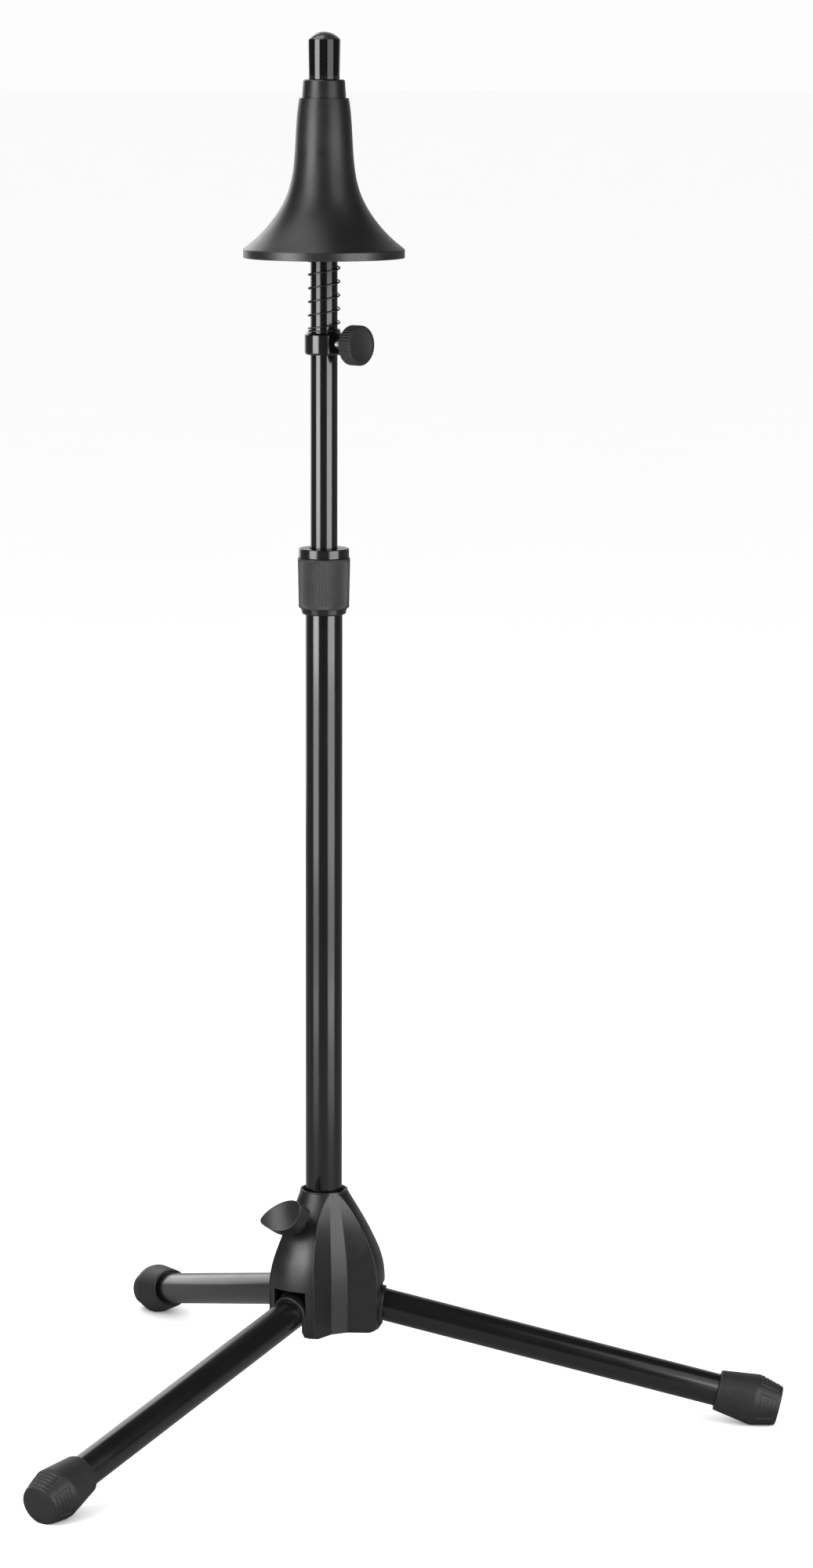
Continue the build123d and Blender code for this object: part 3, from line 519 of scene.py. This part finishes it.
def clutch_grip():
    """Ribbed rubber sleeve: rounded ribs run down it between a plain band at either end."""
    low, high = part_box("clutch_grip")
    top_r = radius_of("clutch_grip")
    bottom_r = top_r - GRIP_TAPER
    inner_r = radius_of("clutch_nut") + FIT_GAP
    band, blend_in, edge, lining = 1.1 * MM, 0.5 * MM, 0.5 * MM, 0.3 * MM
    stations, flatness = 14, 1.5

    def outer(height):
        return bottom_r + (top_r - bottom_r) * (height - low.z) / (high.z - low.z)

    outline = [(inner_r, low.z), (outer(low.z) - edge, low.z), (outer(low.z), low.z + edge)]
    for i in range(stations + 1):
        height = low.z + band + (high.z - low.z - 2 * band) * i / stations
        outline.append((outer(height), height))
    outline += [(outer(high.z), high.z - edge), (outer(high.z) - edge / 2, high.z), (inner_r, high.z)]

    def ribs(radius, height, angle):
        if radius < inner_r + lining:
            return radius, height
        inside = min(height - low.z, high.z - height) - edge
        fade = max(0.0, min(1.0, inside / blend_in))
        groove = 0.5 - 0.5 * math.cos(GRIP_RIBS * angle)
        return radius - GRIP_RIB_DEPTH * fade * groove**flatness, height

    piece = lathe("clutch_grip_ribbed", outline, segments=GRIP_RIBS * GRIP_RIB_SEGMENTS, shape=ribs)
    place_piece(piece, "clutch_grip", "grip_rubber", "clutch_grip")


def boot_outline(start, end, widest_at, mouth_r, widest_r, end_r, bore_r, bore_end):
    """Outline of a boot: recessed mouth with a lip, swelling side, closing cone and dished end."""
    edge, bevel, dish = 0.9 * MM, 0.4 * MM, 0.5 * MM
    lip, recess = 1.5 * MM, 2.2 * MM
    dish_r = 0.6 * end_r
    corner_steps, side_steps, cone_steps = 5, 10, 40
    inner_r = mouth_r - lip
    outline = [(0, bore_end), (bore_r, bore_end), (bore_r, start + recess), (inner_r, start + recess)]
    outline += [(inner_r, start + bevel), (inner_r + bevel, start)]
    for k in range(corner_steps + 1):
        turn = math.pi / 2 * k / corner_steps
        outline.append((mouth_r - edge + edge * math.sin(turn), start + edge - edge * math.cos(turn)))
    for i in range(1, side_steps + 1):
        t = i / side_steps
        outline.append((mouth_r + (widest_r - mouth_r) * t, start + edge + (widest_at - start - edge) * t))
    for i in range(1, cone_steps + 1):
        t = i / cone_steps
        outline.append((widest_r + (end_r - widest_r) * t, widest_at + (end - edge - widest_at) * t))
    for k in range(1, corner_steps + 1):
        turn = math.pi / 2 * k / corner_steps
        outline.append((end_r - edge + edge * math.cos(turn), end - edge + edge * math.sin(turn)))
    outline.append((dish_r, end))
    outline.append((0, end - dish))
    return outline


def foot_boots():
    """Rubber boots with four raised tread frames on the closing cone, pressed flat on the floor."""
    end_wall, cone_length, mouth_length = 3.4 * MM, 15.4 * MM, 1.2 * MM
    above_frames, below_frames, lining = 1.6 * MM, 2.4 * MM, 1.0 * MM
    frame_half, frame_line, rib_inset = math.radians(33), 0.8 * MM, 2.0 * MM
    rib_start, rib_stop = 0.3, 0.7
    pitch = 2 * math.pi / BOOT_FRAMES
    for leg in LEGS:
        node = "foot_boot_" + leg
        start_point, along = leg_axis(leg)
        low, high = span(node, start_point, along)
        slope = math.asin(-along.z)
        widest_r = girth(node, start_point, along, low, high)
        mouth_r = girth(node, start_point, along, low, low + mouth_length)
        end_r = widest_r - cone_length * math.tan(slope)
        tube_low, tube_high = span("leg_tube_" + leg, start_point, along)
        bore_r = girth("leg_tube_" + leg, start_point, along, tube_low, tube_high) + FIT_GAP
        widest_at = high - cone_length
        frame_low, frame_high = widest_at + above_frames, high - below_frames
        rib_pitch = (frame_high - frame_low) / BOOT_RIBS

        def tread(radius, height, angle):
            turn = (angle + pitch / 2) % pitch - pitch / 2
            to_side = frame_half * radius - abs(turn) * radius
            to_end = min(height - frame_low, frame_high - height)
            if radius < bore_r + lining or to_side < 0 or to_end < 0:
                return radius, height
            border = min(to_side, to_end) < frame_line
            phase = ((height - frame_low) / rib_pitch) % 1.0
            rib = to_side > rib_inset and rib_start < phase < rib_stop
            return radius + (BOOT_RELIEF if border or rib else 0.0), height

        outline = boot_outline(low, high, widest_at, mouth_r, widest_r, end_r, bore_r, high - end_wall)
        piece = lathe(node + "_tread", outline, axis_frame(start_point, along), BOOT_SEGMENTS, tread)
        for vertex in piece.data.vertices:
            vertex.co.z = max(vertex.co.z, 0.0)
        place_piece(piece, "leg_" + leg, "boot_rubber", node)


def sharp_line(node, bearing, nearest_r):
    """Points along the sharp edges of a node near one bearing, from the lowest to the highest."""
    weld = 0.001 * MM
    mesh = bmesh.new()
    mesh.from_mesh(nodes[node].data)
    bmesh.ops.remove_doubles(mesh, verts=mesh.verts[:], dist=weld)
    sharp_low, sharp_high = RIDGE_ANGLES
    found = {}
    for edge in mesh.edges:
        if len(edge.link_faces) != 2 or not sharp_low < edge.calc_face_angle() < sharp_high:
            continue
        for vertex in edge.verts:
            x, y, z = vertex.co
            off = (math.atan2(y, x) - bearing + math.pi) % (2 * math.pi) - math.pi
            if abs(off) < RIDGE_BAND and math.hypot(x, y) > nearest_r:
                found[vertex.index] = vertex.co.copy()
    mesh.free()
    return sorted(found.values(), key=lambda point: point.z)


def housing_ridges():
    """Fine beads where each lobe of the housing meets its panels, thinning out at both ends."""
    lobe_half_width = math.radians(25.6)
    nearest_r = 25.5 * MM
    thinnest = 0.15
    sides = [(leg, side) for leg in LEGS for side in (-1, 1)]
    for count, (leg, side) in enumerate(sides, start=1):
        along = leg_axis(leg)[1]
        bearing = math.atan2(along.y, along.x) + side * lobe_half_width
        corners = sharp_line("base_housing", bearing, nearest_r)
        path = [corners[0]]
        for a, b in zip(corners, corners[1:]):
            pieces = max(1, round((b - a).length / RIDGE_STEP))
            path += [a.lerp(b, i / pieces) for i in range(1, pieces + 1)]
        radii = []
        for point in path:
            from_end = min((point - path[0]).length, (point - path[-1]).length)
            radii.append(RIDGE_BEAD * min(1.0, thinnest + from_end / RIDGE_TAPER))
        piece = sweep(f"housing_ridge_{count}", path, radii, RIDGE_SIDES)
        place_piece(piece, "base", "housing")


def cone_spring():
    """Compression spring with closed ends, right-handed."""
    low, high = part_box("cone_spring")
    wire = 0.5 * MM
    coil_r = radius_of("cone_spring") - wire
    closed_pitch, open_pitch = 1.08 * MM, 8.0 * MM
    closed, blend_turns = 1.25, 0.5
    opening = open_pitch - closed_pitch
    height = high.z - low.z - 2 * wire
    total = (height + opening * (2 * closed + blend_turns)) / open_pitch

    def opened(turns):
        if turns <= 0:
            return 0.0
        if turns < blend_turns:
            return turns**2 / (2 * blend_turns)
        return turns - blend_turns / 2

    path = []
    count = round(total * SPRING_STEPS)
    for i in range(count + 1):
        turn = total * i / count
        gained = opened(turn - closed) - opened(turn - (total - closed - blend_turns))
        angle = 2 * math.pi * turn
        z = low.z + wire + closed_pitch * turn + opening * gained
        path.append(Vector((coil_r * math.cos(angle), coil_r * math.sin(angle), z)))
    piece = sweep("cone_spring_wire", path, [wire] * len(path), SPRING_SIDES)
    place_piece(piece, "collar", "spring_steel", "cone_spring")
    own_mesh(piece)


def end_cap():
    """Dipped cap: a slightly flared side, a crisp shoulder and a low dome."""
    low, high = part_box("end_cap")
    top_r = radius_of("end_cap")
    bottom_r = top_r - CAP_FLARE
    bore_r = radius_of("upper_tube") + FIT_GAP
    bore_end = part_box("upper_tube")[1].z + FIT_GAP
    dome_r = (top_r**2 + CAP_DOME**2) / (2 * CAP_DOME)
    shoulder, lip = 0.25 * MM, 0.3 * MM
    outline = [(0, bore_end), (bore_r, bore_end), (bore_r, low.z)]
    outline += [(bottom_r - lip, low.z), (bottom_r, low.z + lip), (top_r, high.z - CAP_DOME - shoulder)]
    steps = 16
    widest = math.asin((top_r - shoulder) / dome_r)
    for i in range(steps):
        turn = widest * (1 - i / steps)
        outline.append((dome_r * math.sin(turn), high.z - dome_r + dome_r * math.cos(turn)))
    outline.append((0, high.z))
    piece = lathe("end_cap_dipped", outline)
    place_piece(piece, "upper_tube", "cap_vinyl", "end_cap")


def dress_cad_nodes():
    """Gives every carried-over CAD node the procedural finish of its slot, or one of its own."""
    own_finish = {"cone_sleeve": "satin_plastic"}
    for name, node in nodes.items():
        if node.hide_render:
            continue
        slot = slot_of(name)
        finish = MATERIALS[own_finish.get(name, slot)]
        if not node.data.materials:
            node.data.materials.append(finish)
        for material_slot in node.material_slots:
            material_slot.material = finish


# ---- stage ---------------------------------------------------------------------------------------
def floor():
    """A wide pale floor, darker in reflections."""
    reach = 40.0
    mesh = bmesh.new()
    bmesh.ops.create_grid(mesh, x_segments=4, y_segments=4, size=reach)
    data = bpy.data.meshes.new("studio_floor")
    mesh.to_mesh(data)
    mesh.free()
    piece = bpy.data.objects.new("studio_floor", data)
    bpy.context.scene.collection.objects.link(piece)
    s = Surface("studio_floor", (0.875, 0.875, 0.875), 0.7, specular=0.2)
    s.mottle(400 * MM, (0.885, 0.885, 0.885), 0.4)
    in_reflections = s.node("ShaderNodeLightPath").outputs["Is Glossy Ray"]
    s.mix_colour(in_reflections, (0.2, 0.2, 0.2))
    data.materials.append(s.material)


def softbox(name, place, aim, width, height, radiance):
    """A rectangular light that faces a point, and that the camera itself doesn't see."""
    data = bpy.data.lights.new(name, "AREA")
    data.shape = "RECTANGLE"
    data.size = width
    data.size_y = height
    data.energy = math.pi * width * height * radiance
    lamp = bpy.data.objects.new(name, data)
    bpy.context.scene.collection.objects.link(lamp)
    lamp.location = place
    lamp.rotation_mode = "QUATERNION"
    lamp.rotation_quaternion = (Vector(aim) - Vector(place)).to_track_quat("-Z", "Y")
    lamp.visible_camera = False


def surroundings():
    """White for the camera and as soft light; dark in front and pale behind the stand in reflections."""
    soft_light, behind = 1.17, 0.98
    front, back = 0.04, 0.7
    back_starts, back_full = 0.55, 0.95
    world = bpy.data.worlds.new("studio")
    bpy.context.scene.world = world
    world.use_nodes = True
    tree = world.node_tree
    path = tree.nodes.new("ShaderNodeLightPath")
    direction = tree.nodes.new("ShaderNodeSeparateXYZ")
    tree.links.new(tree.nodes.new("ShaderNodeTexCoord").outputs["Generated"], direction.inputs[0])
    backwards = tree.nodes.new("ShaderNodeMapRange")
    backwards.inputs["From Min"].default_value = back_starts
    backwards.inputs["From Max"].default_value = back_full
    backwards.inputs["To Min"].default_value = front
    backwards.inputs["To Max"].default_value = back
    tree.links.new(direction.outputs["Y"], backwards.inputs["Value"])
    reflected = tree.nodes.new("ShaderNodeMix")
    reflected.inputs["A"].default_value = soft_light
    tree.links.new(path.outputs["Is Glossy Ray"], reflected.inputs["Factor"])
    tree.links.new(backwards.outputs["Result"], reflected.inputs["B"])
    seen = tree.nodes.new("ShaderNodeMix")
    seen.inputs["B"].default_value = behind
    tree.links.new(path.outputs["Is Camera Ray"], seen.inputs["Factor"])
    tree.links.new(reflected.outputs["Result"], seen.inputs["A"])
    tree.links.new(seen.outputs["Result"], tree.nodes["Background"].inputs["Strength"])
    tree.nodes["Background"].inputs["Color"].default_value = (1, 1, 1, 1)


def strips():
    """Tall soft boxes left and right in front of the stand, in tiers, brightest around the clutch."""
    # lowest point, highest point and distance from the stand of each tier
    tiers = (
        (0.01, 0.14, 0.62),
        (0.02, 0.2, 0.9),
        (0.2, 0.42, 0.9),
        (0.42, 0.69, 0.9),
        (0.69, 1.7, 0.9),
    )
    # azimuth, angle seen from the stand, and radiance of each tier
    rows = {
        "left": (STRIP_LEFT, 35, (1.3, 2.4, 5.2, 11.0, 4.5)),
        "right": (STRIP_RIGHT, 44, (1.6, 3.0, 4.6, 7.6, 1.5)),
    }
    for name, (azimuth, spread, radiances) in rows.items():
        angle = math.radians(azimuth)
        for k, ((low, high, distance), radiance) in enumerate(zip(tiers, radiances)):
            x, y, middle = distance * math.sin(angle), -distance * math.cos(angle), (low + high) / 2
            width = 2 * distance * math.tan(math.radians(spread / 2))
            softbox(f"{name}_strip_{k}", (x, y, middle), (0, 0, middle), width, high - low, radiance)


def studio():
    """Plain soft studio light, shown as it is."""
    surroundings()
    strips()
    # name, place, aim, width, height and radiance
    softbox("top_box", (-0.7, 0.1, 2.5), (0, 0, 0.5), 1.4, 1.4, 2.0)
    softbox("back_box", (-0.7, 1.5, 1.45), (0, 0, 0.7), 0.9, 0.9, 2.2)
    softbox("low_back_box", (-1.1, 2.0, 0.6), (0, 0, 0.1), 1.3, 1.2, 1.2)
    view = bpy.context.scene.view_settings
    view.view_transform = "Standard"
    view.look = "None"


def camera():
    """The camera at the place and angle of the product view."""
    data = bpy.data.cameras.new("view")
    data.sensor_width = SENSOR
    data.lens = CAMERA_LENS
    data.clip_start, data.clip_end = 0.05, 100.0
    view = bpy.data.objects.new("view", data)
    bpy.context.scene.collection.objects.link(view)
    view.location = CAMERA_PLACE
    turn = Matrix.Rotation(math.radians(-CAMERA_YAW), 4, "Z")
    tilt = Matrix.Rotation(math.radians(90 - CAMERA_PITCH), 4, "X")
    roll = Matrix.Rotation(math.radians(CAMERA_ROLL), 4, "Z")
    view.rotation_mode = "QUATERNION"
    view.rotation_quaternion = (turn @ tilt @ roll).to_quaternion()
    bpy.context.scene.camera = view


upright_tubes()
leg_tubes()
clutch_grip()
foot_boots()
housing_ridges()
cone_spring()
end_cap()
dress_cad_nodes()
floor()
studio()
camera()
